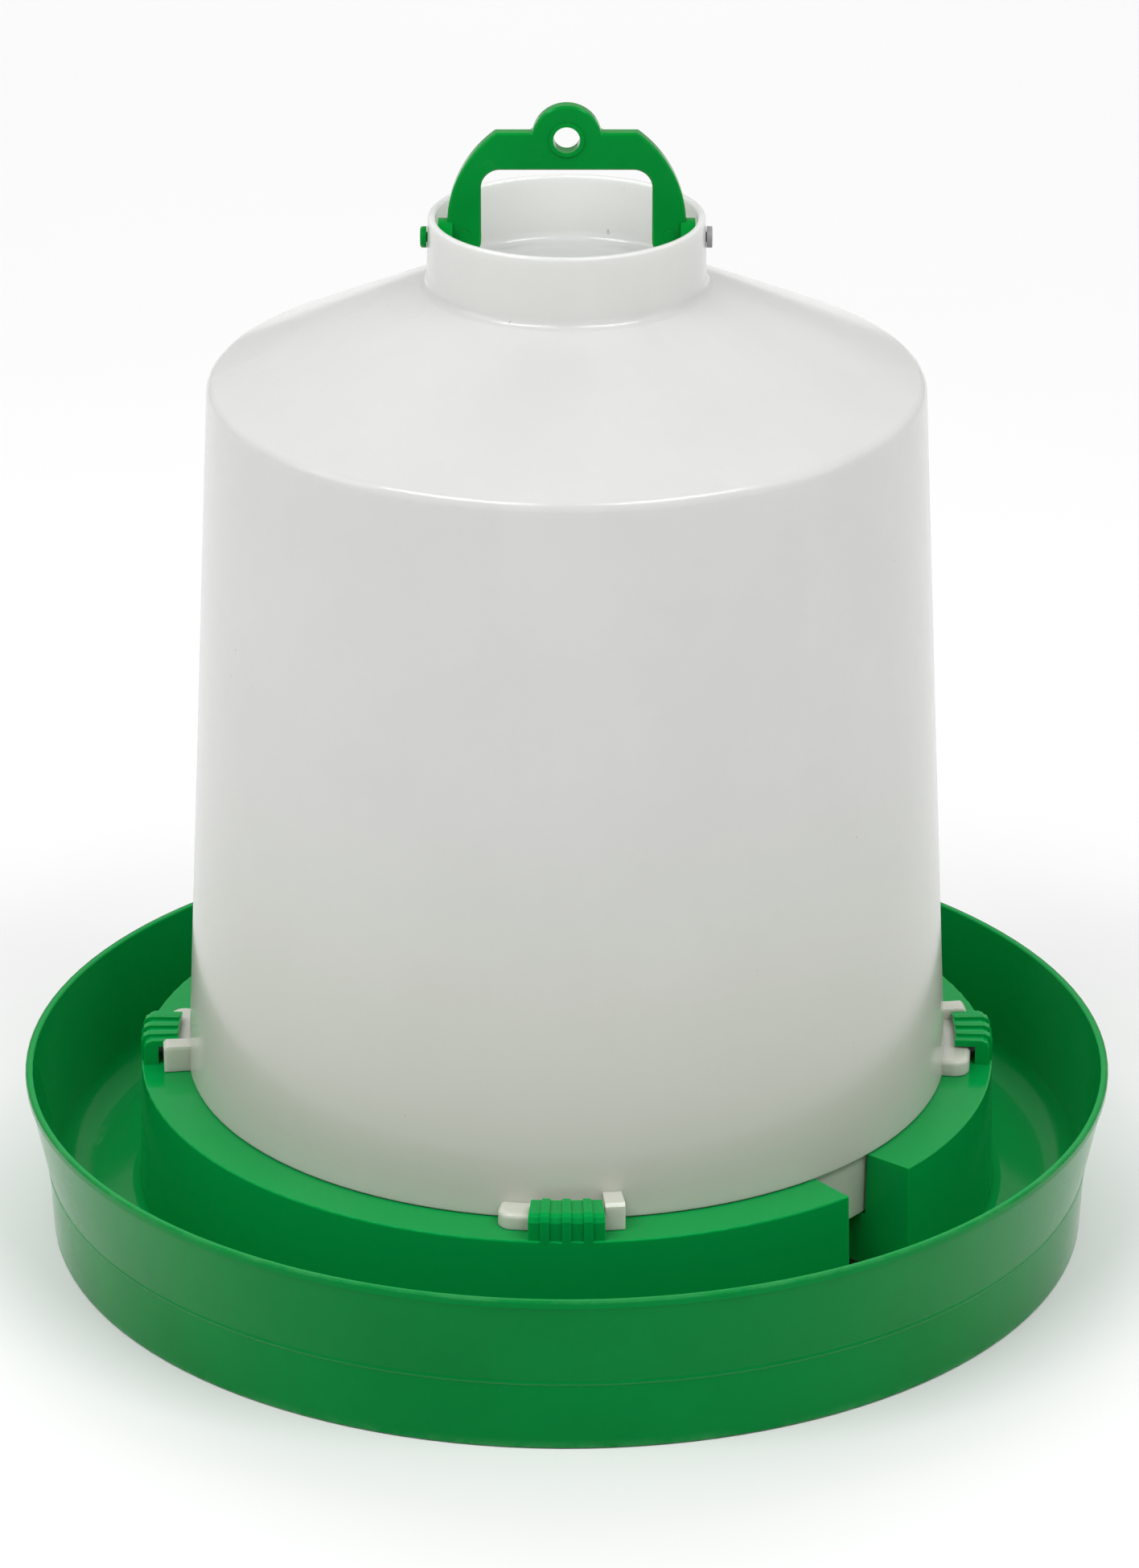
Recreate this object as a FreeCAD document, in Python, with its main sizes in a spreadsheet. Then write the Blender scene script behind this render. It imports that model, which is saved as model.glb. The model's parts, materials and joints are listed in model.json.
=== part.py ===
"""Hanging poultry drinker: a closed water fount that locks into a round drinking tray.

Frame: origin at the centre of the circle that the tray stands on, +Z up, -Y towards the
front hook, and the handle's hinge pins on a line parallel to X. Millimetres and degrees.
"""
import FreeCAD, Part
import math
import os
import re

import Sketcher
from FreeCAD import Placement, Rotation, Vector

SIZES = {
    # tray: one moulded wall, folded from the foot skirt up to the rim and in to the ring
    "foot_radius": 172.0,
    "crease_radius": 173.2,
    "crease_height": 23.6,
    "rim_radius": 180.0,
    "rim_height": 55.6,
    "rim_band_width": 2.6,
    "rim_band_proud": 0.5,
    "rim_width": 2.4,
    "tray_wall": 2.2,
    "trough_floor": 12.0,
    "trough_radius": 168.4,
    "ring_radius": 141.4,
    "ring_foot_radius": 142.8,
    "ring_height": 56.5,
    "well_radius": 124.9,
    "well_foot_radius": 124.4,
    "well_rise": 1.2,
    "trough_bend": 12.0,
    "ring_bend": 3.0,
    "crease_bead": 0.45,
    "crease_bead_width": 1.5,
    "crease_bead_round": 0.7,
    "rim_edge": 0.7,
    "ring_edge": 0.5,
    "notch_angle": 11.4,
    "notch_place": -45.0,
    "notch_wall_angle": 1.0,
    "notch_sill": 0.6,
    "notch_cutter_over": 4.0,
    "notch_cheek_radius": 116.0,
    "notch_cheek_bottom": 17.0,
    "notch_cheek_height": 34.4,
    "notch_cheek_inset": 0.06,
    # hooks on the ring, and the lugs of the fount that turn into them
    "hook_count": 4.0,
    "hook_angle": 9.9,
    "hook_lip_radius": 129.0,
    "hook_slot_radius": 135.8,
    "hook_slot_height": 62.8,
    "hook_height": 65.8,
    "hook_rib_depth": 0.8,
    "hook_rib_angle": 1.15,
    "hook_rib_pitch": 2.8,
    "hook_rib_sink": 1.0,
    "hook_rib_setback": 0.4,
    "hook_corner": 2.4,
    "lug_radius": 134.2,
    "lug_root_radius": 124.6,
    "lug_bottom": 56.75,
    "lug_top": 62.0,
    "lug_start_angle": -9.6,
    "lug_end_angle": 5.2,
    "stop_end_angle": 7.9,
    "stop_height": 65.8,
    "lug_tip_round": 5.0,
    "lug_top_round": 1.6,
    "stop_bevel": 1.0,
    "stop_lean": 0.4,
    # fount: closed bell with a spigot below and a standing collar on top
    "fount_wall": 2.0,
    "bell_wall_rise": 4.0,
    "fount_edge": 0.5,
    "spigot_radius": 123.4,
    "spigot_top_radius": 124.0,
    "spigot_bottom": 35.0,
    "bell_radius": 125.75,
    "bell_bottom": 56.75,
    "shoulder_radius": 114.8,
    "shoulder_height": 292.6,
    "shoulder_round": 4.0,
    "collar_radius": 44.4,
    "collar_rim_radius": 43.9,
    "collar_rim_width": 2.4,
    "collar_rim_round": 0.9,
    "collar_wall": 2.7,
    "collar_foot_round": 3.4,
    "collar_floor": 325.3,
    "collar_floor_wall": 2.2,
    "collar_height": 347.4,
    "collar_floor_rise": 0.9,
    # handle and its two hinge pins
    "pivot_height": 340.2,
    "handle_thickness": 5.0,
    "handle_bar_top": 34.8,
    "handle_bar_bottom": 22.7,
    "handle_bow_radius": 37.7,
    "handle_bow_height": 4.5,
    "handle_leg_inner": 27.0,
    "handle_leg_bottom": -5.4,
    "handle_corner": 6.0,
    "handle_foot_round": 4.6,
    "bar_corner_round": 1.2,
    "handle_edge": 0.6,
    "loop_radius": 11.0,
    "loop_height": 32.7,
    "hole_radius": 4.2,
    "hole_bead_radius": 5.5,
    "hole_bead_height": 0.5,
    "hub_radius": 6.1,
    "hub_back": 36.0,
    "hub_face": 40.6,
    "pin_radius": 1.6,
    "pin_clearance": 0.06,
    "pin_inner_end": 28.2,
    "pin_head_radius": 3.4,
    "pin_head_face": 44.25,
    "pin_head_sink": 0.2,
    "left_head_end": 46.3,
    "right_head_end": 46.0,
    "left_head_round": 0.9,
    "right_head_round": 0.2,
}

doc = FreeCAD.newDocument("PoultryDrinker")
sheet = doc.addObject("Spreadsheet::Sheet", "Sizes")
for row, (alias, value) in enumerate(SIZES.items(), start=1):
    sheet.set(f"A{row}", alias)
    sheet.set(f"B{row}", str(value))
    sheet.setAlias(f"B{row}", alias)
doc.recompute()


# --- small helpers shared by the bodies ------------------------------------------------

def bound(text):
    """Turn size names in a formula into references to the sheet's cells."""
    return re.sub(r"[a-z_]+", lambda word: "Sizes." + word.group()
                  if word.group() in SIZES else word.group(), text)


def bind(thing, prop, text):
    thing.setExpression(prop, bound(text))


def new_body(label):
    body = doc.addObject("PartDesign::Body", label)
    body.Label = label
    body.Placement = Placement(Vector(0, 0, 0), Rotation())
    return body


def origin_part(body, role):
    return next(item for item in body.Origin.OriginFeatures if item.Role == role)


def new_sketch(body, name, plane="XZ_Plane", turned=None):
    """Sketch on one of the body's own planes, turned about the body's Z axis if asked."""
    sketch = body.newObject("Sketcher::SketchObject", name)
    sketch.AttachmentSupport = (origin_part(body, plane), [""])
    sketch.MapMode = "FlatFace"
    if turned is not None:
        sketch.AttachmentOffset = Placement(Vector(0, 0, 0), Rotation(Vector(0, 1, 0), 0))
        bind(sketch, "AttachmentOffset.Rotation.Angle", turned)
    return sketch


def draw_outline(sketch, corners):
    """Closed outline of straight runs; each corner is a pair of formulas."""
    count = len(corners)
    start = [Vector(100 + 90 * math.cos(2 * math.pi * i / count),
                    100 + 90 * math.sin(2 * math.pi * i / count), 0) for i in range(count)]
    lines = [Part.LineSegment(start[i], start[(i + 1) % count]) for i in range(count)]
    first = sketch.addGeometry(lines, False)[0]
    rules = []
    for i in range(count):
        rules.append(Sketcher.Constraint("Coincident", first + i, 2, first + (i + 1) % count, 1))
    for i in range(count):
        rules.append(Sketcher.Constraint("DistanceX", -1, 1, first + i, 1, start[i].x))
        rules.append(Sketcher.Constraint("DistanceY", -1, 1, first + i, 1, start[i].y))
    numbers = sketch.addConstraint(rules)
    for i, (across, up) in enumerate(corners):
        bind(sketch, f"Constraints[{numbers[count + 2 * i]}]", across)
        bind(sketch, f"Constraints[{numbers[count + 2 * i + 1]}]", up)


def draw_circle(sketch, across, up, radius):
    number = sketch.addGeometry(Part.Circle(Vector(1, 1, 0), Vector(0, 0, 1), 1), False)
    rules = sketch.addConstraint([
        Sketcher.Constraint("DistanceX", -1, 1, number, 3, 1.0),
        Sketcher.Constraint("DistanceY", -1, 1, number, 3, 1.0),
        Sketcher.Constraint("Radius", number, 1.0)])
    for rule, text in zip(rules, (across, up, radius)):
        bind(sketch, f"Constraints[{rule}]", text)


def revolve(body, name, sketch, angle="360", cut=False):
    """Turn a sketch about the vertical axis, half of the angle to each side of it."""
    kind = "PartDesign::Groove" if cut else "PartDesign::Revolution"
    before = 0.0 if body.Tip is None else body.Shape.Volume
    feature = body.newObject(kind, name)
    feature.Profile = sketch
    feature.ReferenceAxis = (sketch, ["V_Axis"])
    feature.Midplane = True
    bind(feature, "Angle", angle)
    body.Tip = feature
    doc.recompute()
    grown = feature.Shape.Volume > before
    if grown == cut:
        raise RuntimeError(f"{name} did not change the volume the right way")
    return feature


def extrude(body, name, sketch, length, cut=False, midplane=True):
    """Pad or pocket a sketch, half of the length to each side of it unless told not to."""
    before = 0.0 if body.Tip is None else body.Shape.Volume
    feature = body.newObject("PartDesign::Pocket" if cut else "PartDesign::Pad", name)
    feature.Profile = sketch
    feature.Type = "Length"
    feature.Midplane = midplane
    bind(feature, "Length", length)
    body.Tip = feature
    doc.recompute()
    grown = feature.Shape.Volume > before
    if grown == cut:
        raise RuntimeError(f"{name} did not change the volume the right way")
    return feature


def ring_edges(feature, places):
    """Names of the full-circle edges at the given (radius, height) pairs."""
    names = []
    for radius, height in places:
        found = [f"Edge{number}" for number, edge in enumerate(feature.Shape.Edges, start=1)
                 if isinstance(edge.Curve, Part.Circle)
                 and abs(edge.Curve.Radius - radius) < 0.02
                 and abs(edge.Curve.Center.z - height) < 0.02]
        if not found:
            raise RuntimeError(f"no edge at radius {radius}, height {height}")
        names += found
    return names


def round_edges(body, name, base, names, radius):
    fillet = body.newObject("PartDesign::Fillet", name)
    fillet.Base = (base, names)
    fillet.Radius = radius
    body.Tip = fillet
    doc.recompute()
    if "Invalid" in fillet.State or "Error" in fillet.State:
        raise RuntimeError(f"{name} failed")
    return fillet


def around(body, name, originals):
    """Repeat features at the hooks' spacing about the vertical axis."""
    pattern = body.newObject("PartDesign::PolarPattern", name)
    pattern.Originals = originals
    pattern.Axis = (origin_part(body, "Z_Axis"), [""])
    pattern.Angle = 360
    bind(pattern, "Occurrences", "hook_count")
    body.Tip = pattern
    doc.recompute()
    return pattern


# --- tray: rim, trough, foot skirt, and the hollow ring that carries the fount ---------

tray = new_body("tray")
profile = new_sketch(tray, "TrayProfile")
draw_outline(profile, [
    ("foot_radius", "0"),
    ("crease_radius", "crease_height - crease_bead_width / 2"),
    ("crease_radius + crease_bead", "crease_height"),
    ("crease_radius + crease_bead / 2", "crease_height + crease_bead_width / 2"),
    ("rim_radius - rim_band_proud", "rim_height - rim_band_width"),
    ("rim_radius", "rim_height - rim_band_width + rim_band_proud / 2"),
    ("rim_radius", "rim_height"),
    ("rim_radius - rim_width", "rim_height"),
    ("trough_radius", "trough_floor"),
    ("ring_foot_radius", "trough_floor"),
    ("ring_radius", "ring_height"),
    ("well_radius", "ring_height"),
    ("well_foot_radius", "trough_floor"),
    ("0", "trough_floor + well_rise"),
    ("0", "trough_floor + well_rise - tray_wall"),
    ("well_foot_radius + tray_wall", "trough_floor - tray_wall"),
    ("well_radius + tray_wall", "ring_height - tray_wall"),
    ("ring_radius - tray_wall", "ring_height - tray_wall"),
    ("ring_foot_radius - tray_wall", "trough_floor - tray_wall"),
    ("foot_radius - tray_wall", "trough_floor - tray_wall"),
    ("foot_radius - tray_wall", "0"),
])
wall_of_tray = revolve(tray, "TrayWall", profile)

tray_soft = round_edges(tray, "TroughBends", wall_of_tray,
                        ring_edges(wall_of_tray, [(SIZES["trough_radius"], SIZES["trough_floor"])]),
                        SIZES["trough_bend"])
tray_soft = round_edges(tray, "RingBends", tray_soft, ring_edges(tray_soft, [
    (SIZES["ring_foot_radius"], SIZES["trough_floor"]),
    (SIZES["well_foot_radius"], SIZES["trough_floor"])]), SIZES["ring_bend"])
tray_soft = round_edges(tray, "CreaseBead", tray_soft, ring_edges(tray_soft, [
    (SIZES["crease_radius"] + SIZES["crease_bead"], SIZES["crease_height"])]),
                        SIZES["crease_bead_round"])
tray_soft = round_edges(tray, "RimAndFootEdges", tray_soft, ring_edges(tray_soft, [
    (SIZES["rim_radius"], SIZES["rim_height"]),
    (SIZES["rim_radius"] - SIZES["rim_width"], SIZES["rim_height"]),
    (SIZES["foot_radius"], 0),
    (SIZES["foot_radius"] - SIZES["tray_wall"], 0)]), SIZES["rim_edge"])
tray_soft = round_edges(tray, "RingEdges", tray_soft, ring_edges(tray_soft, [
    (SIZES["ring_radius"], SIZES["ring_height"]),
    (SIZES["well_radius"], SIZES["ring_height"])]), SIZES["ring_edge"])

# The outlet notch: the hollow ring is closed by two end walls and opened between them,
# down to a low sill. Below the fount's mouth the end walls run on into the well as cheeks,
# which stand clear of its floor.
block = new_sketch(tray, "NotchBlockProfile", turned="notch_place")
draw_outline(block, [
    ("well_foot_radius + tray_wall / 2", "trough_floor - tray_wall"),
    ("ring_foot_radius - tray_wall / 2", "trough_floor - tray_wall"),
    ("ring_radius - tray_wall / 2", "ring_height - tray_wall / 2"),
    ("well_radius + tray_wall / 2", "ring_height - tray_wall / 2"),
])
revolve(tray, "NotchBlock", block, "notch_angle + 2 * notch_wall_angle")
opening = new_sketch(tray, "NotchProfile", turned="notch_place")
draw_outline(opening, [
    ("well_foot_radius - notch_cutter_over", "trough_floor + notch_sill"),
    ("ring_foot_radius + notch_cutter_over", "trough_floor + notch_sill"),
    ("ring_foot_radius + notch_cutter_over", "ring_height + notch_cutter_over"),
    ("well_foot_radius - notch_cutter_over", "ring_height + notch_cutter_over"),
])
revolve(tray, "OutletNotch", opening, "notch_angle", cut=True)
for number, side in enumerate((-1, 1), start=1):
    cheek = new_sketch(tray, f"NotchCheekProfile{number}",
                       turned=f"notch_place + {side} * (notch_angle + notch_wall_angle) / 2")
    draw_outline(cheek, [
        ("notch_cheek_radius", "notch_cheek_bottom"),
        ("well_radius + tray_wall / 2", "notch_cheek_bottom"),
        ("well_radius + tray_wall / 2", "notch_cheek_height"),
        ("notch_cheek_radius", "notch_cheek_height"),
    ])
    revolve(tray, f"NotchCheek{number}", cheek, "notch_wall_angle - notch_cheek_inset")

# One hook: a C-shaped wall and lip, with three grip ribs over its outer corner.
hook = new_sketch(tray, "HookProfile")
draw_outline(hook, [
    ("hook_slot_radius", "ring_height - tray_wall / 2"),
    ("ring_radius - hook_rib_depth", "ring_height - tray_wall / 2"),
    ("ring_radius - hook_rib_depth", "hook_height - hook_rib_depth - hook_corner"),
    ("ring_radius - hook_rib_depth - hook_corner / 3",
     "hook_height - hook_rib_depth - hook_corner / 3"),
    ("ring_radius - hook_rib_depth - hook_corner", "hook_height - hook_rib_depth"),
    ("hook_lip_radius", "hook_height - hook_rib_depth"),
    ("hook_lip_radius", "hook_slot_height"),
    ("hook_slot_radius", "hook_slot_height"),
])
hook_parts = [revolve(tray, "Hook", hook, "hook_angle")]
for number in (-1, 0, 1):
    rib = new_sketch(tray, f"HookRibProfile{number + 2}", turned=f"{number} * hook_rib_pitch")
    draw_outline(rib, [
        ("hook_slot_radius + hook_rib_sink", "ring_height - tray_wall / 2"),
        ("ring_radius", "ring_height - tray_wall / 2"),
        ("ring_radius", "hook_height - hook_corner"),
        ("ring_radius - hook_corner / 3", "hook_height - hook_corner / 3"),
        ("ring_radius - hook_corner", "hook_height"),
        ("hook_lip_radius + hook_rib_setback", "hook_height"),
        ("hook_lip_radius + hook_rib_setback", "hook_slot_height + hook_rib_sink"),
        ("hook_slot_radius + hook_rib_sink", "hook_slot_height + hook_rib_sink"),
    ])
    hook_parts.append(revolve(tray, f"HookRib{number + 2}", rib, "hook_rib_angle"))
around(tray, "Hooks", hook_parts)


# --- fount: closed translucent bell, lugs at its foot, spigot below, collar on top -----

fount = new_body("fount")
cone_drop = "(collar_floor - shoulder_height) / (shoulder_radius - collar_radius)"
bell = new_sketch(fount, "FountProfile")
draw_outline(bell, [
    ("spigot_radius", "spigot_bottom"),
    ("spigot_top_radius", "bell_bottom"),
    ("bell_radius", "bell_bottom"),
    ("shoulder_radius", "shoulder_height"),
    ("collar_radius", "collar_floor"),
    ("collar_rim_radius", "collar_height"),
    ("collar_rim_radius - collar_rim_width", "collar_height"),
    ("collar_radius - collar_wall", "collar_floor"),
    ("0", "collar_floor + collar_floor_rise"),
    ("0", "collar_floor + collar_floor_rise - collar_floor_wall"),
    ("collar_radius", "collar_floor - collar_floor_wall"),
    ("shoulder_radius - fount_wall", f"collar_floor - collar_floor_wall - "
     f"(shoulder_radius - fount_wall - collar_radius) * {cone_drop}"),
    ("bell_radius - fount_wall", "bell_bottom + bell_wall_rise"),
    ("spigot_top_radius - fount_wall", "bell_bottom + fount_wall"),
    ("spigot_radius - fount_wall", "spigot_bottom"),
])
wall_of_fount = revolve(fount, "FountWall", bell)
fount_soft = round_edges(fount, "Shoulder", wall_of_fount, ring_edges(wall_of_fount, [
    (SIZES["shoulder_radius"], SIZES["shoulder_height"])]), SIZES["shoulder_round"])
fount_soft = round_edges(fount, "CollarFoot", fount_soft, ring_edges(fount_soft, [
    (SIZES["collar_radius"], SIZES["collar_floor"]),
    (SIZES["collar_radius"] - SIZES["collar_wall"], SIZES["collar_floor"])]),
                         SIZES["collar_foot_round"])
fount_soft = round_edges(fount, "CollarRim", fount_soft, ring_edges(fount_soft, [
    (SIZES["collar_rim_radius"], SIZES["collar_height"]),
    (SIZES["collar_rim_radius"] - SIZES["collar_rim_width"], SIZES["collar_height"])]),
                         SIZES["collar_rim_round"])
fount_soft = round_edges(fount, "SpigotMouth", fount_soft, ring_edges(fount_soft, [
    (SIZES["bell_radius"], SIZES["bell_bottom"]),
    (SIZES["spigot_radius"], SIZES["spigot_bottom"])]), SIZES["fount_edge"])

# One lug: a low block with a rounded leading end and a tall stop behind it.
lug = new_sketch(fount, "LugProfile", turned="(lug_start_angle + stop_end_angle) / 2")
draw_outline(lug, [
    ("lug_root_radius", "lug_bottom"),
    ("lug_radius", "lug_bottom"),
    ("lug_radius", "lug_top"),
    ("lug_root_radius", "lug_top"),
])
lug_block = revolve(fount, "Lug", lug, "stop_end_angle - lug_start_angle")
stop = new_sketch(fount, "StopProfile", turned="(lug_end_angle + stop_end_angle) / 2")
draw_outline(stop, [
    ("lug_root_radius", "lug_bottom"),
    ("lug_radius", "lug_bottom"),
    ("lug_radius", "stop_height - stop_bevel"),
    ("lug_radius - stop_bevel", "stop_height"),
    ("lug_root_radius - stop_lean", "stop_height"),
])
stop_block = revolve(fount, "LugStop", stop, "stop_end_angle - lug_end_angle")
lugs = around(fount, "Lugs", [lug_block, stop_block])


def tip_edges(shape):
    """The upright outer edge at the leading end of each lug."""
    names = []
    for number, edge in enumerate(shape.Edges, start=1):
        low, high = edge.BoundBox.ZMin, edge.BoundBox.ZMax
        middle = edge.BoundBox.Center
        turn = math.degrees(math.atan2(middle.y, middle.x)) % 90
        leading = abs(turn - SIZES["lug_start_angle"] % 90) < 0.2
        outer = abs(math.hypot(middle.x, middle.y) - SIZES["lug_radius"]) < 0.1
        if leading and outer and high - low > 4:
            names.append(f"Edge{number}")
    return names


def lug_top_edges(shape):
    """The outer top edges of the lugs, the rounded leading ends included."""
    names = []
    for number, edge in enumerate(shape.Edges, start=1):
        box = edge.BoundBox
        flat = box.ZMax - box.ZMin < 0.01 and abs(box.ZMax - SIZES["lug_top"]) < 0.01
        reach = max(math.hypot(vertex.X, vertex.Y) for vertex in edge.Vertexes)
        if flat and reach > SIZES["bell_radius"] + 0.4 and edge.Length > 4:
            radial = abs(math.hypot(edge.Vertexes[0].X, edge.Vertexes[0].Y)
                         - math.hypot(edge.Vertexes[-1].X, edge.Vertexes[-1].Y)) > 7
            if not radial:
                names.append(f"Edge{number}")
    return names


lug_soft = round_edges(fount, "LugTips", lugs, tip_edges(lugs.Shape), SIZES["lug_tip_round"])
round_edges(fount, "LugTops", lug_soft, lug_top_edges(lug_soft.Shape), SIZES["lug_top_round"])

# The two pin holes through the collar.
pin_holes = new_sketch(fount, "PinHoleProfile", "YZ_Plane")
draw_circle(pin_holes, "0", "pivot_height", "pin_radius + pin_clearance")
extrude(fount, "PinHoles", pin_holes, "2 * collar_radius + 4", cut=True)


# --- handle: flat moulded bow with a hanging loop, swinging on the collar --------------

handle = new_body("handle")
bow = new_sketch(handle, "BowProfile")
draw_outline(bow, [
    ("-handle_bow_radius - 1", "pivot_height + handle_leg_bottom"),
    ("handle_bow_radius + 1", "pivot_height + handle_leg_bottom"),
    ("handle_bow_radius + 1", "pivot_height + handle_bar_top"),
    ("-handle_bow_radius - 1", "pivot_height + handle_bar_top"),
])
extrude(handle, "Bow", bow, "handle_thickness")
trim = new_sketch(handle, "BowTrimProfile")
draw_outline(trim, [
    ("-handle_bow_radius - 9", "pivot_height - 40"),
    ("handle_bow_radius + 9", "pivot_height - 40"),
    ("handle_bow_radius + 9", "pivot_height + 50"),
    ("-handle_bow_radius - 9", "pivot_height + 50"),
])
draw_circle(trim, "0", "pivot_height + handle_bow_height", "handle_bow_radius")
extrude(handle, "BowTrim", trim, "handle_thickness + 2", cut=True)
loop = new_sketch(handle, "LoopProfile")
draw_circle(loop, "0", "pivot_height + loop_height", "loop_radius")
extrude(handle, "HangingLoop", loop, "handle_thickness")
grip = new_sketch(handle, "GripProfile")
draw_outline(grip, [
    ("-handle_leg_inner", "pivot_height + handle_leg_bottom - 2"),
    ("handle_leg_inner", "pivot_height + handle_leg_bottom - 2"),
    ("handle_leg_inner", "pivot_height + handle_bar_bottom"),
    ("-handle_leg_inner", "pivot_height + handle_bar_bottom"),
])
bow_shape = extrude(handle, "Grip", grip, "handle_thickness + 2", cut=True)


def edges_along_y(shape, places, near=0.3):
    """Names of the front-to-back edges that stand at the given (across, height) places."""
    names = []
    for number, edge in enumerate(shape.Edges, start=1):
        box = edge.BoundBox
        if box.YLength < 4 or box.XLength > 0.01 or box.ZLength > 0.01:
            continue
        for across, height in places:
            if abs(box.Center.x - across) < near and abs(box.Center.z - height) < near:
                names.append(f"Edge{number}")
    if len(names) != len(places):
        raise RuntimeError(f"found {len(names)} of {len(places)} edges")
    return names


def both_sides(places):
    return [(sign * across, SIZES["pivot_height"] + up) for across, up in places for sign in (-1, 1)]


bow_radius, bow_middle = SIZES["handle_bow_radius"], SIZES["handle_bow_height"]
leg_end = SIZES["handle_leg_bottom"]
leg_corner = math.sqrt(bow_radius ** 2 - (leg_end - bow_middle) ** 2)
bar_corner = math.sqrt(bow_radius ** 2 - (SIZES["handle_bar_top"] - bow_middle) ** 2)
loop_corner = math.sqrt(SIZES["loop_radius"] ** 2
                        - (SIZES["handle_bar_top"] - SIZES["loop_height"]) ** 2)
bow_soft = round_edges(handle, "GripCorners", bow_shape, edges_along_y(bow_shape.Shape, both_sides([
    (SIZES["handle_leg_inner"], SIZES["handle_bar_bottom"])])), SIZES["handle_corner"])
bow_soft = round_edges(handle, "LegEnds", bow_soft, edges_along_y(bow_soft.Shape, both_sides([
    (SIZES["handle_leg_inner"], leg_end), (leg_corner, leg_end)])), SIZES["handle_foot_round"])
bow_soft = round_edges(handle, "BarCorners", bow_soft, edges_along_y(bow_soft.Shape, both_sides([
    (bar_corner, SIZES["handle_bar_top"]), (loop_corner, SIZES["handle_bar_top"])])),
                       SIZES["bar_corner_round"])


def face_edges(shape, half_thickness):
    """Names of all the edges round the front and back faces."""
    return [f"Edge{number}" for number, edge in enumerate(shape.Edges, start=1)
            if edge.BoundBox.YLength < 0.01
            and abs(abs(edge.BoundBox.Center.y) - half_thickness) < 0.01]


bevel = handle.newObject("PartDesign::Chamfer", "EdgeBevel")
bevel.Base = (bow_soft, face_edges(bow_soft.Shape, SIZES["handle_thickness"] / 2))
bevel.Size = SIZES["handle_edge"]
handle.Tip = bevel
doc.recompute()
bead = new_sketch(handle, "HoleBeadProfile")
draw_circle(bead, "0", "pivot_height + loop_height", "hole_bead_radius")
extrude(handle, "HoleBead", bead, "handle_thickness + 2 * hole_bead_height")
hole = new_sketch(handle, "HangingHoleProfile")
draw_circle(hole, "0", "pivot_height + loop_height", "hole_radius")
extrude(handle, "HangingHole", hole, "handle_thickness + 2 * hole_bead_height + 2", cut=True)


def rod(body, name, start, end, radius):
    """Round bar along X on the hinge line, between two distances from the middle."""
    sketch = new_sketch(body, name + "Profile", "YZ_Plane")
    sketch.AttachmentOffset = Placement(Vector(0, 0, 1), Rotation())
    bind(sketch, "AttachmentOffset.Base.z", start)
    draw_circle(sketch, "0", "pivot_height", radius)
    return extrude(body, name, sketch, f"({end}) - ({start})", midplane=False)


rod(handle, "RightHub", "hub_back", "hub_face", "hub_radius")
rod(handle, "LeftHub", "-hub_face", "-hub_back", "hub_radius")
bore = new_sketch(handle, "PinBoreProfile", "YZ_Plane")
draw_circle(bore, "0", "pivot_height", "pin_radius")
extrude(handle, "PinBores", bore, "2 * hub_face + 4", cut=True)


# --- hinge pins: headed pins pushed in from outside the collar -------------------------

def head_edge(shape, end):
    """The outer edge of a pin's head."""
    return [f"Edge{number}" for number, edge in enumerate(shape.Edges, start=1)
            if isinstance(edge.Curve, Part.Circle)
            and abs(edge.Curve.Center.x - end) < 0.01
            and abs(edge.Curve.Radius - SIZES["pin_head_radius"]) < 0.01]


left_pin = new_body("left_pivot_pin")
rod(left_pin, "LeftShank", "-pin_head_face - pin_head_sink", "-pin_inner_end", "pin_radius")
left_head = rod(left_pin, "LeftHead", "-left_head_end", "-pin_head_face", "pin_head_radius")
round_edges(left_pin, "LeftHeadEdge", left_head,
            head_edge(left_head.Shape, -SIZES["left_head_end"]), SIZES["left_head_round"])

right_pin = new_body("right_pivot_pin")
rod(right_pin, "RightShank", "pin_inner_end", "pin_head_face + pin_head_sink", "pin_radius")
right_head = rod(right_pin, "RightHead", "pin_head_face", "right_head_end", "pin_head_radius")
round_edges(right_pin, "RightHeadEdge", right_head,
            head_edge(right_head.Shape, SIZES["right_head_end"]), SIZES["right_head_round"])


# --- check everything, then write one file for each piece ------------------------------

doc.recompute()
for item in doc.Objects:
    if "Invalid" in item.State or "Error" in item.State:
        raise RuntimeError(f"{item.Name} did not build: {item.State}")
os.makedirs("parts", exist_ok=True)
for piece in (tray, fount, handle, left_pin, right_pin):
    shape = piece.Shape
    if shape.isNull() or not shape.isValid() or len(shape.Solids) != 1:
        raise RuntimeError(f"{piece.Label} is not one valid solid")
    shape.exportStep(f"parts/{piece.Label}.step")
    box = shape.BoundBox
    print(f"{piece.Label}: {shape.Volume / 1000:.1f} cm3, x {box.XMin:.1f}..{box.XMax:.1f}, "
          f"y {box.YMin:.1f}..{box.YMax:.1f}, z {box.ZMin:.1f}..{box.ZMax:.1f}")
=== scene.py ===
import json
import math

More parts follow.
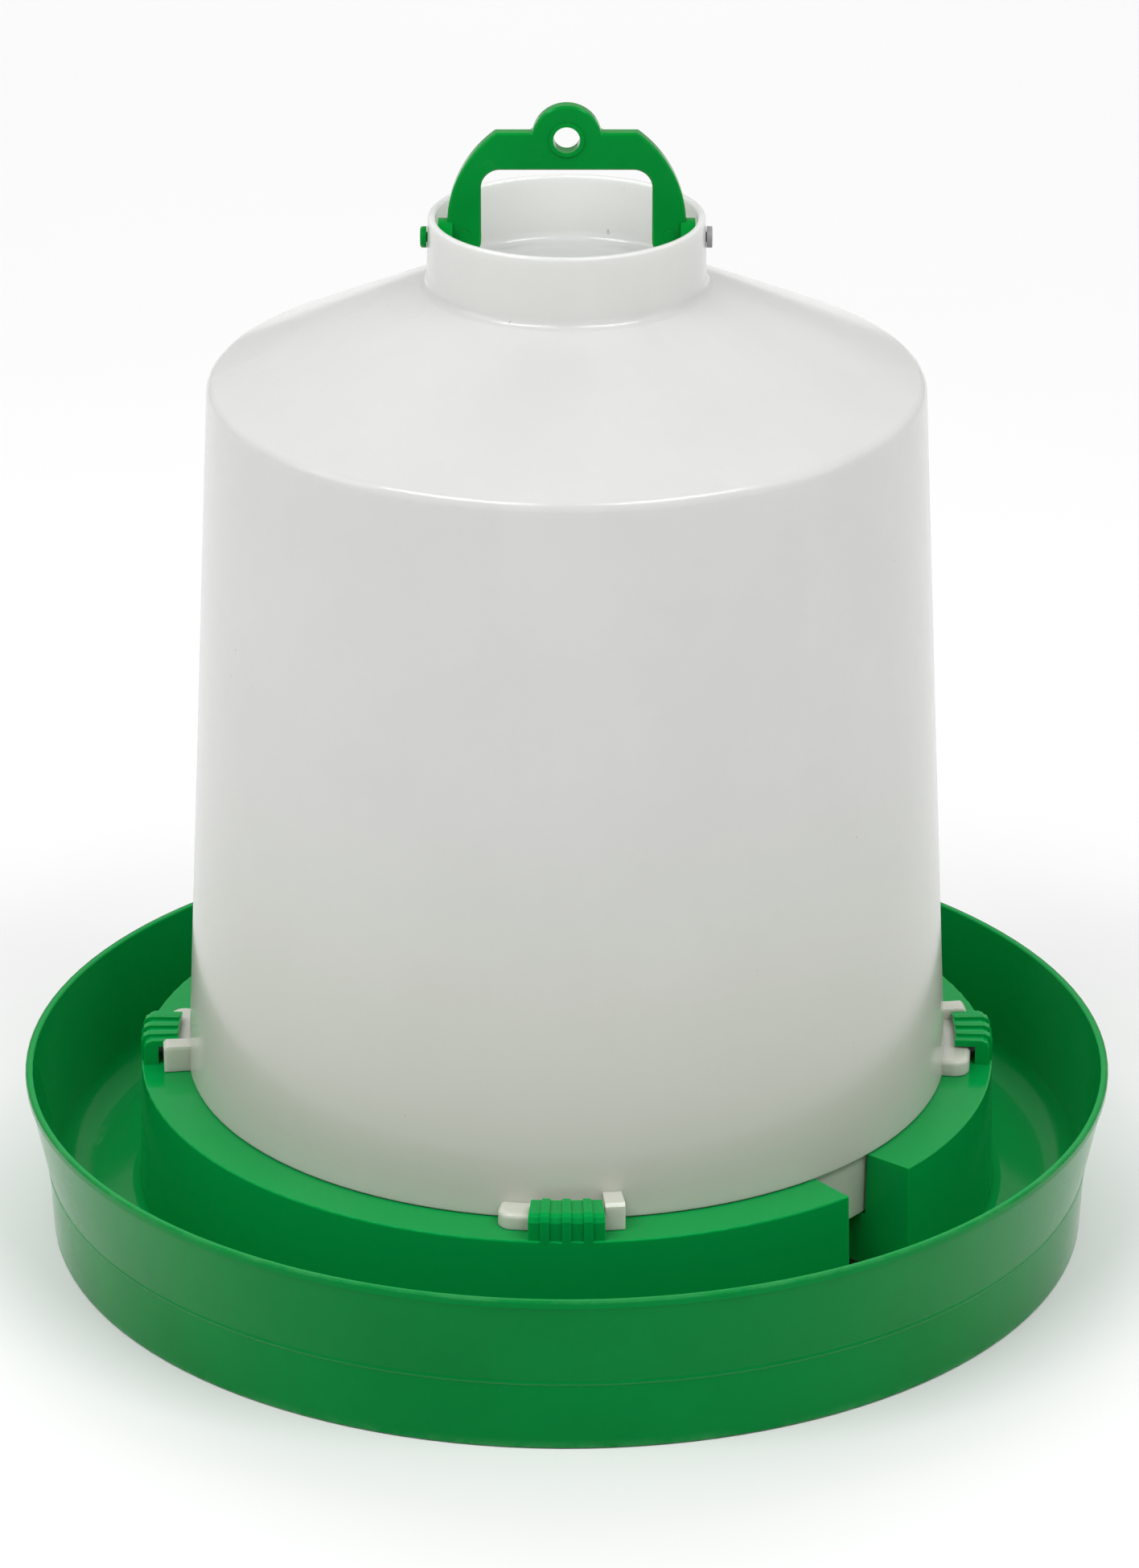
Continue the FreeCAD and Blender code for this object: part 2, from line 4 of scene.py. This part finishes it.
import bpy
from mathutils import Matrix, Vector


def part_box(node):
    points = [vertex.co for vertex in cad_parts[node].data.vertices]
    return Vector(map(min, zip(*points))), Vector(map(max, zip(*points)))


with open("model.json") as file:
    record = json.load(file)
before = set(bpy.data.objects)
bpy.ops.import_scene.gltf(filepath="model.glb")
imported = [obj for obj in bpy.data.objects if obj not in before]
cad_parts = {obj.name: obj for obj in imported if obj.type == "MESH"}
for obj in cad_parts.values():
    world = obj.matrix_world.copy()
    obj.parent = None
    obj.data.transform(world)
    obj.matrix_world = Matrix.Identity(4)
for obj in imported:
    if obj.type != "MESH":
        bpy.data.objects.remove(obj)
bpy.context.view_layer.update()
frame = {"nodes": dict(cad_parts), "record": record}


# ---------------------------------------------------------------------------------------
# Drinking tray. One injection moulding in green polypropylene: a foot skirt, a flared
# outer wall with a rim, a trough, and a hollow ring whose four hooks hold the fount.
# The mould is polished, so the skin is glossy; the foot is scuffed in use, the rim's top
# edge is paler in patches, and within the outer wall the green is painted lighter as
# painted light.
# ---------------------------------------------------------------------------------------
class Value:
    """One socket of a finish. The usual operators on it add Math nodes."""

    def __init__(self, finish, socket):
        self.finish, self.socket = finish, socket

    def _math(self, operation, *pair):
        return self.finish.node("ShaderNodeMath", {"operation": operation}, *pair)

    def __add__(self, other):
        return self._math("ADD", self, other)

    def __radd__(self, other):
        return self._math("ADD", other, self)

    def __sub__(self, other):
        return self._math("SUBTRACT", self, other)

    def __rsub__(self, other):
        return self._math("SUBTRACT", other, self)

    def __mul__(self, other):
        return self._math("MULTIPLY", self, other)

    def __rmul__(self, other):
        return self._math("MULTIPLY", other, self)

    def __pow__(self, other):
        return self._math("POWER", self, other)


class Finish:
    """A material being made on one Principled shader; fixed sockets are given by name."""

    COLOUR_MIX_SOCKETS, COLOUR_MIX_RESULT = (0, 6, 7), 2

    def __init__(self, name, **fixed):
        self.material = bpy.data.materials.new(name)
        self.material.use_nodes = True
        self.tree = self.material.node_tree
        self.shader = self.tree.nodes["Principled BSDF"]
        for socket, value in fixed.items():
            self.set(socket.replace("_", " "), value)

    def node(self, kind, settings, *inputs, out=0, **named):
        """Add a node: its settings first, then its sockets, in order or by name."""
        node = self.tree.nodes.new(kind)
        for key, value in settings.items():
            setattr(node, key, value)
        for key, value in list(enumerate(inputs)) + list(named.items()):
            self.feed(node.inputs[key], value)
        return Value(self, node.outputs[out])

    def feed(self, socket, value):
        if isinstance(value, Value):
            self.tree.links.new(value.socket, socket)
        else:
            socket.default_value = value

    def set(self, socket, value):
        self.feed(self.shader.inputs[socket], value)

    def place(self):
        """Where a point of the surface is, in the drinker's own frame, in metres."""
        return self.node("ShaderNodeTexCoord", {}, out="Object")

    def axes(self):
        split = self.tree.nodes.new("ShaderNodeSeparateXYZ")
        self.feed(split.inputs[0], self.place())
        return [Value(self, output) for output in split.outputs]

    def around_axis(self):
        """Distance from the drinker's axis, angle from its front in radians, and height."""
        x, y, z = self.axes()
        radius = (x * x + y * y) ** 0.5
        angle = self.node("ShaderNodeMath", {"operation": "ARCTAN2"}, x, 0.0 - y)
        return radius, angle, z

    def point(self, x, y, z):
        return self.node("ShaderNodeCombineXYZ", {}, x, y, z)

    def noise(self, where, scale, detail=3.0, rough=0.55):
        """Cloudy noise, 0 to 1: its cells per metre, its finer layers and their strength."""
        return self.node("ShaderNodeTexNoise", {}, out="Fac", Vector=where, Scale=scale,
                         Detail=detail, Roughness=rough)

    def rise(self, value, low, high):
        """0 up to low, 1 from high on, smooth between; falls where high is the lower."""
        return self.node("ShaderNodeMapRange", {"interpolation_type": "SMOOTHSTEP"}, value,
                         low, high, 0.0, 1.0)

    def mix(self, amount, first, second):
        node = self.tree.nodes.new("ShaderNodeMix")
        node.data_type = "RGBA"
        for socket, value in zip(self.COLOUR_MIX_SOCKETS, (amount, first, second)):
            self.feed(node.inputs[socket], value)
        return Value(self, node.outputs[self.COLOUR_MIX_RESULT])

    def bump(self, height, distance):
        self.set("Normal", self.node("ShaderNodeBump", {}, out="Normal", Strength=1.0,
                                     Distance=distance, Height=height))

    def put_on(self, node):
        """Give the finish to a piece that came with the frame."""
        slots = frame["nodes"][node].data.materials
        slots.clear()
        slots.append(self.material)


GREEN_DEEP = (0.0008, 0.180, 0.030, 1)
GREEN_FRESH = (0.0012, 0.205, 0.036, 1)
GREEN_PAINTED_LIGHT = (0.0012, 0.285, 0.056, 1)
GREEN_SCUFF = (0.045, 0.270, 0.085, 1)
GREEN_TINT = (0.10, 0.80, 0.35, 1)
PLASTIC_IOR, GREEN_SHINE = 1.49, 0.27
GREEN_GLOW, GREEN_GLOW_COLOUR, GREEN_GLOW_DEPTH = 0.35, (0.1, 1.0, 0.25), 0.004
CLOUDS, CLOUD_EDGES = (14.0, 5.0), (0.3, 0.7)
SMEARS, SMEAR_EDGES = (38.0, 6.0, 0.65), (0.35, 0.75)
PEEL = (420.0, 2.0)


def green_polypropylene(name, deep=GREEN_DEEP, fresh=GREEN_FRESH):
    """Glossy green plastic: cloudy pigment and the faint orange peel of a moulded skin."""
    finish = Finish(name, IOR=PLASTIC_IOR, Specular_IOR_Level=GREEN_SHINE,
                    Specular_Tint=GREEN_TINT, Subsurface_Weight=GREEN_GLOW,
                    Subsurface_Radius=GREEN_GLOW_COLOUR, Subsurface_Scale=GREEN_GLOW_DEPTH)
    clouds = finish.rise(finish.noise(finish.place(), *CLOUDS), *CLOUD_EDGES)
    finish.pigment = finish.mix(clouds, deep, fresh)
    finish.peel = finish.noise(finish.place(), *PEEL)
    finish.smear = finish.rise(finish.noise(finish.place(), *SMEARS), *SMEAR_EDGES)
    return finish


RIM_RADIUS, RIM_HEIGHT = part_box("tray")[1][0], 0.0556
RIM_PALE_WIDTH, RIM_PALE_INSET, RIM_PALE_DEPTH = 0.0028, 0.0002, 0.0012
RIM_PALE_EDGES, FOOT_SCUFF_EDGES, FOOT_SCUFF_HEIGHT = (0.35, 0.75), (0.40, 0.60), 0.0035
CREASE_RADIUS, CREASE_HEIGHT, TROUGH_FLOOR, WALL = 0.1732, 0.0236, 0.0120, 0.0022
WALL_SLOPE = (RIM_RADIUS - CREASE_RADIUS) / (RIM_HEIGHT - CREASE_HEIGHT)
PAINTED_LIGHT_FROM, PAINTED_LIGHT_TO = 0.3 * WALL, 0.6 * WALL
RINGS_PER_METRE, RINGS_PER_RADIAN, RING_GRAIN = 900.0, 0.6, (1.0, 1.0)
SCRATCH_ROWS_PER_METRE, SCRATCHES_PER_RADIAN = 700.0, 5.0
SCRATCH_GRAIN, SCRATCH_EDGES = (1.0, 4.0, 0.7), (0.66, 0.72)
SPECKS, SPECK_EDGES, PATCHES = (800.0, 2.0), (0.66, 0.74), (60.0, 4.0, 0.7)
SCUFFED, SCRATCHED, SPECKLED = 0.55, 0.10, 0.10
TRAY_ROUGH, TRAY_SMEAR_ROUGH, TRAY_WORN_ROUGH = 0.10, 0.07, 0.30
TRAY_PEEL, RING_RISE, SCRATCH_SINK, TRAY_RELIEF = 0.5, 0.35, 0.5, 0.00004

tray_green = green_polypropylene("tray_green_polypropylene")
radius, angle, height = tray_green.around_axis()
ring_place = tray_green.point(radius * RINGS_PER_METRE, height * RINGS_PER_METRE,
                              angle * RINGS_PER_RADIAN)
rings = tray_green.noise(ring_place, *RING_GRAIN)
scratch_place = tray_green.point(angle * SCRATCHES_PER_RADIAN, height * SCRATCH_ROWS_PER_METRE,
                                 radius * SCRATCH_ROWS_PER_METRE)
scratches = tray_green.rise(tray_green.noise(scratch_place, *SCRATCH_GRAIN), *SCRATCH_EDGES)
specks = tray_green.rise(tray_green.noise(tray_green.place(), *SPECKS), *SPECK_EDGES)
patches = tray_green.noise(tray_green.place(), *PATCHES)
# Paler green in patches along the rim's top outer edge.
pale_rim_patches = (tray_green.rise(radius, RIM_RADIUS - RIM_PALE_WIDTH, RIM_RADIUS - RIM_PALE_INSET)
             * tray_green.rise(height, RIM_HEIGHT - RIM_PALE_DEPTH, RIM_HEIGHT)
             * tray_green.rise(patches, *RIM_PALE_EDGES))
foot_scuff = (tray_green.rise(height, FOOT_SCUFF_HEIGHT, 0.0)
              * tray_green.rise(patches, *FOOT_SCUFF_EDGES))
worn = tray_green.node("ShaderNodeMath", {"operation": "MAXIMUM"}, pale_rim_patches, foot_scuff)
worn = worn * SCUFFED + scratches * SCRATCHED + specks * SPECKLED
# Painted light: within the outer wall, from just under the trough floor up, the green is
# painted lighter, standing in for light that the shade of the walls and the fount takes away.
outer_skin = CREASE_RADIUS + (height - CREASE_HEIGHT) * WALL_SLOPE
painted_light_inside = (tray_green.rise(outer_skin - radius, PAINTED_LIGHT_FROM, PAINTED_LIGHT_TO)
          * tray_green.rise(height, TROUGH_FLOOR - PAINTED_LIGHT_TO, TROUGH_FLOOR - PAINTED_LIGHT_FROM))
pigment = tray_green.mix(painted_light_inside, tray_green.pigment, GREEN_PAINTED_LIGHT)
tray_green.set("Base Color", tray_green.mix(worn, pigment, GREEN_SCUFF))
tray_green.set("Roughness",
               TRAY_ROUGH + TRAY_SMEAR_ROUGH * tray_green.smear + TRAY_WORN_ROUGH * worn)
tray_green.bump(tray_green.peel * TRAY_PEEL + rings * RING_RISE - scratches * SCRATCH_SINK,
                TRAY_RELIEF)
tray_green.put_on("tray")


# ---------------------------------------------------------------------------------------
# Fount. The water store, a bell moulded in natural polypropylene about 2 mm thick, with
# lugs that turn under the tray's hooks. It is unpigmented, so light soaks into it and it
# shows the soft clouds of the melt. Towards its foot it is painted darker and greener, a
# painted shade with green light from the tray, and within the collar it is painted
# paler, a painted light.
# ---------------------------------------------------------------------------------------
NATURAL_THIN = (0.598, 0.602, 0.586, 1)
NATURAL_THICK = (0.622, 0.625, 0.610, 1)
NATURAL_SPECK = (0.36, 0.36, 0.33, 1)
NATURAL_FOOT_SHADE = (0.525, 0.540, 0.455, 1)
NATURAL_COLLAR_PAINTED_LIGHT = (0.720, 0.720, 0.715, 1)
NATURAL_GLOW, NATURAL_GLOW_COLOUR, NATURAL_GLOW_DEPTH = 0.6, (1.0, 1.0, 0.9), 0.006
FLOWS_PER_TURN, FLOW_ROWS_PER_METRE, FLOW_GRAIN = 2.2, 7.0, (1.0, 4.0, 0.6)
HAZE, MELT_EDGES, FLOW_PART, HAZE_PART = (16.0, 5.0, 0.6), (0.36, 0.64), 0.35, 0.65
FOOT_SHADE_FROM, FOOT_SHADE_TO, FOOT_SHADE = 0.230, 0.060, 0.75
COLLAR_BORE, COLLAR_BORE_BLEND = 0.0422, 0.0005
COLLAR_FLOOR, COLLAR_FLOOR_BLEND = 0.3245, 0.002
BLACK_SPECKS, BLACK_SPECK_EDGES, BLACK_SPECK_TONE = (260.0, 1.0), (0.80, 0.84), 0.5
RUBS, RUB_EDGES = (45.0, 6.0, 0.7), (0.5, 0.8)
FOUNT_ROUGH, MELT_ROUGH, RUB_ROUGH = 0.16, 0.03, 0.06
FOUNT_PEEL, FOUNT_PEEL_RISE, FOUNT_RELIEF = (300.0, 2.0), 0.5, 0.00005

natural = Finish("natural_polypropylene", IOR=PLASTIC_IOR, Subsurface_Weight=NATURAL_GLOW,
                 Subsurface_Radius=NATURAL_GLOW_COLOUR, Subsurface_Scale=NATURAL_GLOW_DEPTH)
x, y, height = natural.axes()
radius = (x * x + y * y) ** 0.5
round_about = radius ** -1.0 * FLOWS_PER_TURN
flow_place = natural.point(x * round_about, y * round_about, height * FLOW_ROWS_PER_METRE)
flow = natural.noise(flow_place, *FLOW_GRAIN)
haze = natural.noise(natural.place(), *HAZE)
specks = natural.rise(natural.noise(natural.place(), *BLACK_SPECKS), *BLACK_SPECK_EDGES)
melt = natural.rise(flow * FLOW_PART + haze * HAZE_PART, *MELT_EDGES)
milk_and_painted_light = natural.mix(melt, NATURAL_THIN, NATURAL_THICK)
# Painted shade: darker and greener towards the foot, standing in for the tray's shade and the
# green light bounced off it.
milk_and_painted_light = natural.mix(natural.rise(height, FOOT_SHADE_FROM, FOOT_SHADE_TO) * FOOT_SHADE, milk_and_painted_light,
                   NATURAL_FOOT_SHADE)
# Painted light: paler within the collar, standing in for light coming through its thin wall.
painted_light_in_collar = (natural.rise(radius, COLLAR_BORE, COLLAR_BORE - COLLAR_BORE_BLEND)
             * natural.rise(height, COLLAR_FLOOR, COLLAR_FLOOR + COLLAR_FLOOR_BLEND))
milk_and_painted_light = natural.mix(painted_light_in_collar, milk_and_painted_light, NATURAL_COLLAR_PAINTED_LIGHT)
natural.set("Base Color", natural.mix(specks * BLACK_SPECK_TONE, milk_and_painted_light, NATURAL_SPECK))
rubbed = natural.rise(natural.noise(natural.place(), *RUBS), *RUB_EDGES)
natural.set("Roughness", FOUNT_ROUGH + MELT_ROUGH * melt + RUB_ROUGH * rubbed)
natural.bump(natural.noise(natural.place(), *FOUNT_PEEL) * FOUNT_PEEL_RISE + haze, FOUNT_RELIEF)
natural.put_on("fount")


# ---------------------------------------------------------------------------------------
# Handle. A flat bow with a hanging loop, moulded in a brighter green polypropylene, with
# an ejector mark at the foot of each leg. It swings on two pins in the fount's collar.
# ---------------------------------------------------------------------------------------
HANDLE_DEEP = (0.0006, 0.205, 0.024, 1)
HANDLE_FRESH = (0.0008, 0.235, 0.029, 1)
MARK_OUT, MARK_UP, MARK_RADIUS, MARK_LINE = 0.0325, 0.001, 0.0021, 0.00035
HANDLE_RUBS, HANDLE_RUB_EDGES, HANDLE_RUB_TONE = (150.0, 5.0, 0.7), (0.55, 0.75), 0.15
HANDLE_ROUGH, HANDLE_SMEAR_ROUGH, HANDLE_RUB_ROUGH = 0.16, 0.08, 0.15
HANDLE_PEEL, MARK_SINK, HANDLE_RELIEF = 0.4, 3.0, 0.00005

handle_green = green_polypropylene("handle_green_polypropylene", HANDLE_DEEP, HANDLE_FRESH)
x, _, height = handle_green.axes()
handle_joint = next(joint for joint in frame["record"]["behaviour"]["joints"]
                    if joint["name"] == "handle_swing")
mark_height = handle_joint["pos_m"][2] + MARK_UP
across = handle_green.node("ShaderNodeMath", {"operation": "ABSOLUTE"}, x) - MARK_OUT
up = height - mark_height
from_mark = (across * across + up * up) ** 0.5 - MARK_RADIUS
off_line = handle_green.node("ShaderNodeMath", {"operation": "ABSOLUTE"}, from_mark)
ejector_mark = handle_green.rise(off_line, MARK_LINE, 0.0)
rubbed = handle_green.rise(handle_green.noise(handle_green.place(), *HANDLE_RUBS),
                           *HANDLE_RUB_EDGES)
handle_green.set("Base Color", handle_green.mix(rubbed * HANDLE_RUB_TONE, handle_green.pigment,
                                                GREEN_SCUFF))
handle_green.set("Roughness", HANDLE_ROUGH + HANDLE_SMEAR_ROUGH * handle_green.smear
                 + HANDLE_RUB_ROUGH * rubbed)
handle_green.bump(handle_green.peel * HANDLE_PEEL - ejector_mark * MARK_SINK, HANDLE_RELIEF)
handle_green.put_on("handle")


# ---------------------------------------------------------------------------------------
# Hinge pins. Headed pins pushed in from outside the collar: the left one is green like
# the handle, the right one a spare in grey nylon, with a matt, slightly scored skin.
# ---------------------------------------------------------------------------------------
NYLON_DARK = (0.24, 0.24, 0.25, 1)
NYLON_PALE = (0.34, 0.34, 0.35, 1)
NYLON_IOR, NYLON_MOTTLE = 1.53, (500.0, 4.0)
PIN_ROUGH, PIN_SMEAR_ROUGH, NYLON_ROUGH, NYLON_MOTTLE_ROUGH = 0.20, 0.15, 0.34, 0.2
PIN_RELIEF = 0.00003

pin_green = green_polypropylene("pin_green_polypropylene", HANDLE_DEEP, HANDLE_FRESH)
pin_green.set("Base Color", pin_green.pigment)
pin_green.set("Roughness", PIN_ROUGH + PIN_SMEAR_ROUGH * pin_green.smear)
pin_green.bump(pin_green.peel, PIN_RELIEF)
pin_green.put_on("left_pivot_pin")

grey_nylon = Finish("grey_nylon", IOR=NYLON_IOR)
mottle = grey_nylon.noise(grey_nylon.place(), *NYLON_MOTTLE)
grey_nylon.set("Base Color", grey_nylon.mix(mottle, NYLON_DARK, NYLON_PALE))
grey_nylon.set("Roughness", NYLON_ROUGH + NYLON_MOTTLE_ROUGH * mottle)
grey_nylon.bump(mottle, PIN_RELIEF)
grey_nylon.put_on("right_pivot_pin")


# ---------------------------------------------------------------------------------------
# Studio. A sheet of pale matt paper under the drinker, a pale surround, soft lamps above
# it and to both sides, and a wide one behind that lights the paper and is not mirrored in
# the gloss; the camera looks down on it a little, through a long lens.
# ---------------------------------------------------------------------------------------
PAPER_SIZE, PAPER_DROP = 12.0, 0.0002
PAPER_WHITE = (0.82, 0.82, 0.82, 1)
PAPER_FIBRE = (0.80, 0.80, 0.80, 1)
PAPER_ROUGH, PAPER_SHINE, FIBRES_PER_METRE = 0.95, 0.1, 3.0
SURROUND_WHITE, SURROUND_STRENGTH = (1, 1, 1, 1), 0.46

bpy.ops.mesh.primitive_plane_add(size=PAPER_SIZE, location=(0, 0, -PAPER_DROP))
floor = bpy.context.object
floor.name = "floor"
paper = Finish("backdrop_paper", Roughness=PAPER_ROUGH, Specular_IOR_Level=PAPER_SHINE)
fibre = paper.noise(paper.place(), FIBRES_PER_METRE)
paper.set("Base Color", paper.mix(fibre, PAPER_WHITE, PAPER_FIBRE))
floor.data.materials.append(paper.material)

world = bpy.data.worlds.new("studio")
bpy.context.scene.world = world
world.use_nodes = True
surround = world.node_tree.nodes["Background"]
surround.inputs["Color"].default_value = SURROUND_WHITE
surround.inputs["Strength"].default_value = SURROUND_STRENGTH


def soft_lamp(name, place, aim, size, power):
    """A softbox: where it hangs, what it points at, its two sides in metres and its watts."""
    data = bpy.data.lights.new(name, "AREA")
    data.shape = "RECTANGLE"
    data.size, data.size_y = size
    data.energy = power
    lamp = bpy.data.objects.new(name, data)
    lamp.location = place
    lamp.rotation_euler = (Vector(aim) - Vector(place)).to_track_quat("-Z", "Y").to_euler()
    bpy.context.scene.collection.objects.link(lamp)
    return lamp


soft_lamp("left_lamp", (-1.7, -0.3, 1.1), (0, 0, 0.15), (1.0, 1.0), 4.5)
soft_lamp("right_lamp", (1.7, -0.3, 1.1), (0, 0, 0.15), (1.0, 1.0), 2.5)
soft_lamp("front_left_lamp", (-0.75, -0.8, 1.65), (0, 0, 0.1), (1.2, 0.5), 14.5)
soft_lamp("front_right_lamp", (0.75, -0.8, 1.65), (0, 0, 0.1), (1.2, 0.5), 14)
back_lamp = soft_lamp("back_lamp", (0.0, 3.0, 2.2), (0, 1.1, 0), (5.0, 2.4), 78)
back_lamp.visible_glossy = False

CAMERA_ASIDE, CAMERA_BACK, CAMERA_HEIGHT, CAMERA_TILT = 0.0009, 1.918, 0.9646, 22.95
CAMERA_LENS, SENSOR_WIDTH, CAMERA_REACH = 201.05, 36.0, 50.0

camera_data = bpy.data.cameras.new("camera")
camera_data.sensor_fit = "HORIZONTAL"
camera_data.sensor_width = SENSOR_WIDTH
camera_data.lens = CAMERA_LENS
camera_data.clip_end = CAMERA_REACH
camera = bpy.data.objects.new("camera", camera_data)
camera.location = (CAMERA_ASIDE, -CAMERA_BACK, CAMERA_HEIGHT)
camera.rotation_euler = (math.radians(90 - CAMERA_TILT), 0, 0)
bpy.context.scene.collection.objects.link(camera)
bpy.context.scene.camera = camera
bpy.context.scene.view_settings.view_transform = "Standard"
